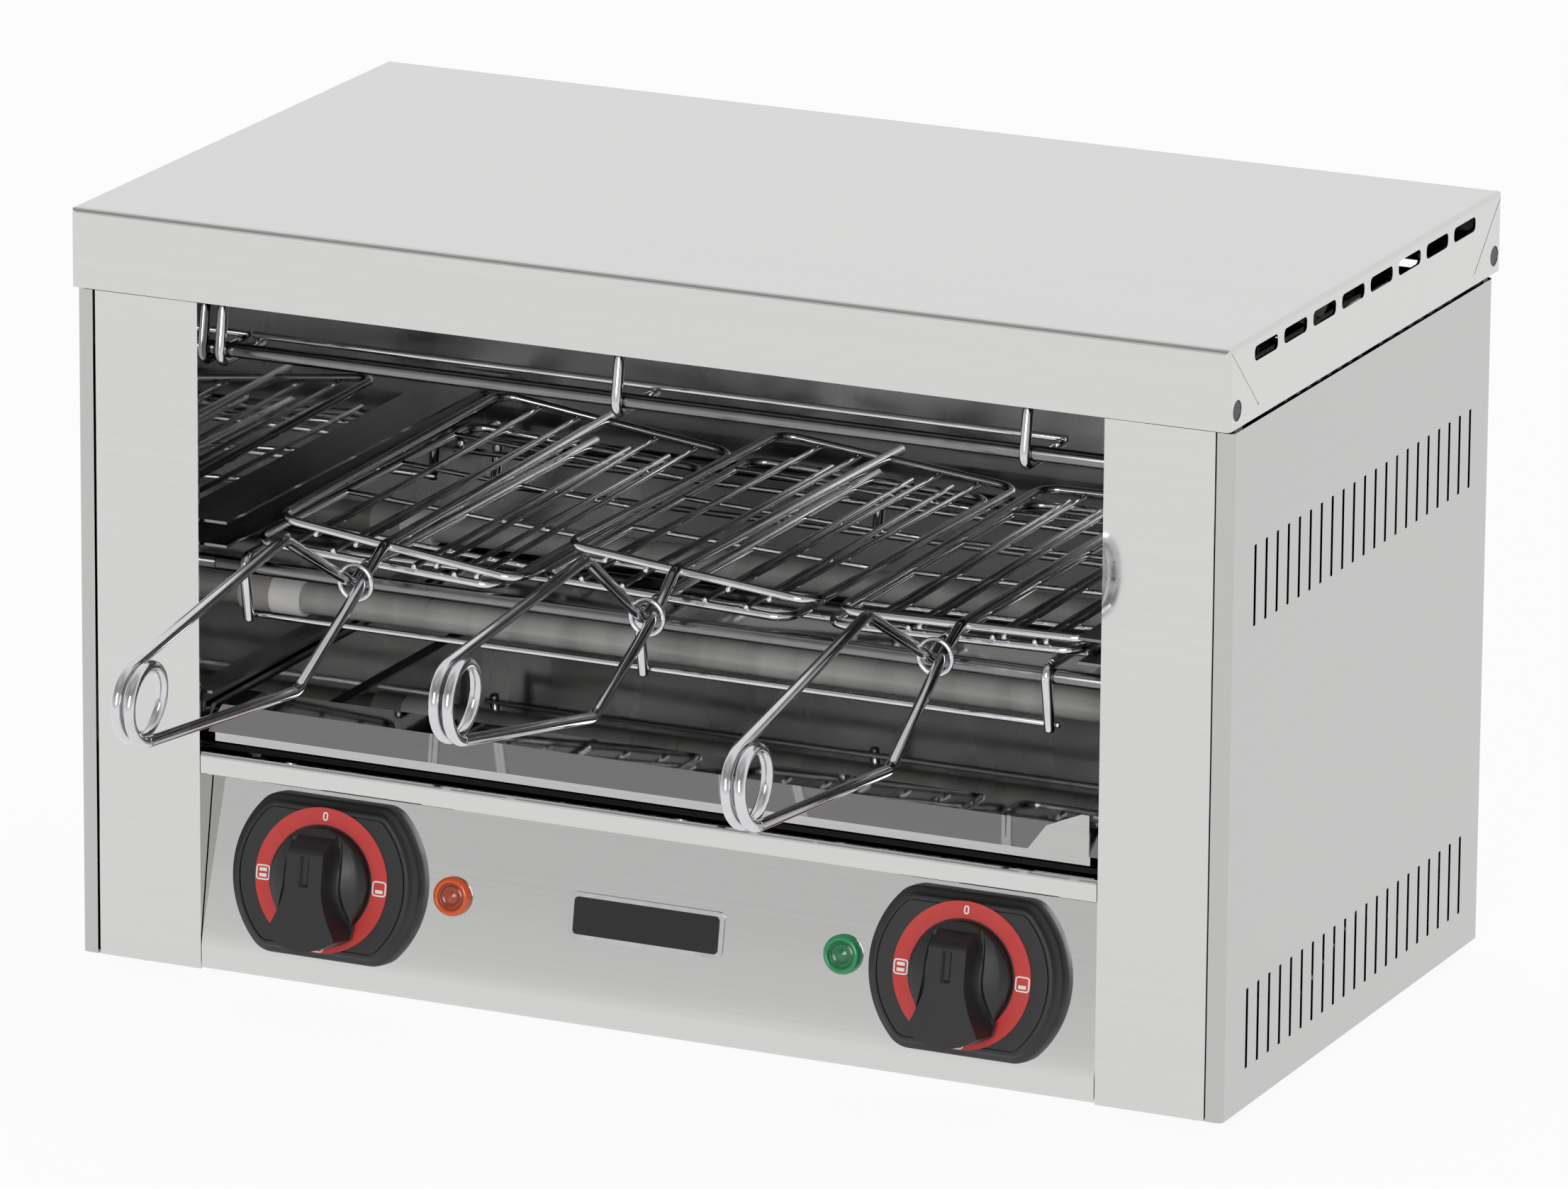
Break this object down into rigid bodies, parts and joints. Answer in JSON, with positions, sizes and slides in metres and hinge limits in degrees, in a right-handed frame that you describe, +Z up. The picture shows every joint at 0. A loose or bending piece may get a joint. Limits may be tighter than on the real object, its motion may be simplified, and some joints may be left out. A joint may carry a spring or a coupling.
{
  "type": "horizontal toaster",
  "caption": "Countertop quartz toaster: open-front stainless cabinet with spring wire tongs, pull-out crumb tray, wire guards and two rotary switches.",
  "frame": {"origin": "middle of the whole part's footprint box, on the plane that its feet stand on", "axes": "+X to the right seen from the front, +Y to the back, +Z up"},
  "size_m": [0.45, 0.4132, 0.2865],
  "materials": {
    "bright_steel": "bright annealed",
    "reflector_steel": "polished, heat tinted",
    "chromed_wire": "polished",
    "quartz": "milky",
    "white_ceramic": "unglazed",
    "resistance_wire": "oxidised",
    "brass": "plain",
    "black_plastic": "fine texture",
    "red_print": "printed",
    "phenolic": "moulded",
    "amber_lens": "clear tinted",
    "green_lens": "clear tinted",
    "plate_metal": "bright",
    "wire_insulation": "silicone",
    "zinc_steel": "dark zinc",
    "black_rubber": "matt"
  },
  "bodies": {
    "root": {"top_cover": "bright_steel", "left_side_panel": "bright_steel", "right_side_panel": "bright_steel", "back_panel": "bright_steel", "base_plate": "bright_steel", "left_front_post": "bright_steel", "right_front_post": "bright_steel", "control_panel": "bright_steel", "left_chamber_wall": "reflector_steel", "right_chamber_wall": "reflector_steel", "chamber_back": "reflector_steel", "chamber_roof": "reflector_steel", "heat_shield": "reflector_steel", "tray_runners": "reflector_steel", "tong_rails": "reflector_steel", "lower_front_tube": "quartz", "lower_rear_tube": "quartz", "upper_front_tube": "quartz", "upper_rear_tube": "quartz", "heating_coils": "resistance_wire", "ceramic_caps": "white_ceramic", "tube_terminals": "brass", "lower_front_guard": "chromed_wire", "lower_rear_guard": "chromed_wire", "upper_front_guard": "chromed_wire", "upper_rear_guard": "chromed_wire", "left_bezel": "black_plastic", "right_bezel": "black_plastic", "left_dial_ring": "red_print", "right_dial_ring": "red_print", "rotary_switches": "phenolic", "amber_lens": "amber_lens", "green_lens": "green_lens", "lamp_bodies": "black_plastic", "name_plate": "plate_metal", "name_plate_field": "black_plastic", "terminal_block": "phenolic", "wiring": "wire_insulation", "cable_gland": "black_plastic", "cover_brackets": "zinc_steel", "cover_screws": "zinc_steel", "back_screws": "zinc_steel", "feet": "black_rubber", "foot_screws": "zinc_steel"},
    "crumb_tray": {"crumb_tray": "bright_steel"},
    "left_knob": {"left_knob": "black_plastic", "left_spindle": "zinc_steel"},
    "right_knob": {"right_knob": "black_plastic", "right_spindle": "zinc_steel"},
    "tong_1": {"tong_1_lower_jaw": "chromed_wire"},
    "tong_1_upper": {"tong_1_upper_jaw": "chromed_wire"},
    "tong_1_slider": {"tong_1_ring": "chromed_wire"},
    "tong_2": {"tong_2_lower_jaw": "chromed_wire"},
    "tong_2_upper": {"tong_2_upper_jaw": "chromed_wire"},
    "tong_2_slider": {"tong_2_ring": "chromed_wire"},
    "tong_3": {"tong_3_lower_jaw": "chromed_wire"},
    "tong_3_upper": {"tong_3_upper_jaw": "chromed_wire"},
    "tong_3_slider": {"tong_3_ring": "chromed_wire"}
  },
  "joints": [
    {"name": "tray_slide", "type": "slide", "parent": "root", "child": "crumb_tray", "axis": [0, -1, 0], "range_m": [0, 0.2]},
    {"name": "left_knob_turn", "type": "hinge", "parent": "root", "child": "left_knob", "pos_m": [-0.1262, -0.03582, 0.04587], "axis": [0, 0.9861, -0.1659], "range_deg": [0, 270]},
    {"name": "right_knob_turn", "type": "hinge", "parent": "root", "child": "right_knob", "pos_m": [0.1262, -0.03582, 0.04587], "axis": [0, 0.9861, -0.1659], "range_deg": [0, 270]},
    {"name": "tong_1_pull", "type": "slide", "parent": "root", "child": "tong_1", "axis": [0, -1, 0], "range_m": [0, 0.24]},
    {"name": "tong_1_open", "type": "hinge", "parent": "tong_1", "child": "tong_1_upper", "pos_m": [-0.11986, -0.19106, 0.15396], "axis": [0.9972, -0.0506, -0.0558], "range_deg": [0, 6], "stiffness_Nm_per_rad": 2},
    {"name": "tong_1_ring_slide", "type": "slide", "parent": "tong_1", "child": "tong_1_slider", "axis": [-0.0167, -0.8704, 0.4921], "range_m": [0, 0.0142]},
    {"name": "tong_2_pull", "type": "slide", "parent": "root", "child": "tong_2", "axis": [0, -1, 0], "range_m": [0, 0.24]},
    {"name": "tong_2_open", "type": "hinge", "parent": "tong_2", "child": "tong_2_upper", "pos_m": [0, -0.18668, 0.1693], "axis": [0.9994, -0.0087, -0.0349], "range_deg": [0, 6], "stiffness_Nm_per_rad": 2},
    {"name": "tong_2_ring_slide", "type": "slide", "parent": "tong_2", "child": "tong_2_slider", "axis": [0.013, -0.8169, 0.5766], "range_m": [0, 0.0142]},
    {"name": "tong_3_pull", "type": "slide", "parent": "root", "child": "tong_3", "axis": [0, -1, 0], "range_m": [0, 0.24]},
    {"name": "tong_3_open", "type": "hinge", "parent": "tong_3", "child": "tong_3_upper", "pos_m": [0.11083, -0.18752, 0.15382], "axis": [0.9997, -0.0157, 0.0209], "range_deg": [0, 6], "stiffness_Nm_per_rad": 2},
    {"name": "tong_3_ring_slide", "type": "slide", "parent": "tong_3", "child": "tong_3_slider", "axis": [-0.0239, -0.8726, 0.4878], "range_m": [0, 0.0142]}
  ],
  "couplings": [
    {"joint": "tong_1_ring_slide", "follows": "tong_1_open", "m_per_rad": 0.134},
    {"joint": "tong_2_ring_slide", "follows": "tong_2_open", "m_per_rad": 0.133},
    {"joint": "tong_3_ring_slide", "follows": "tong_3_open", "m_per_rad": 0.133}
  ]
}
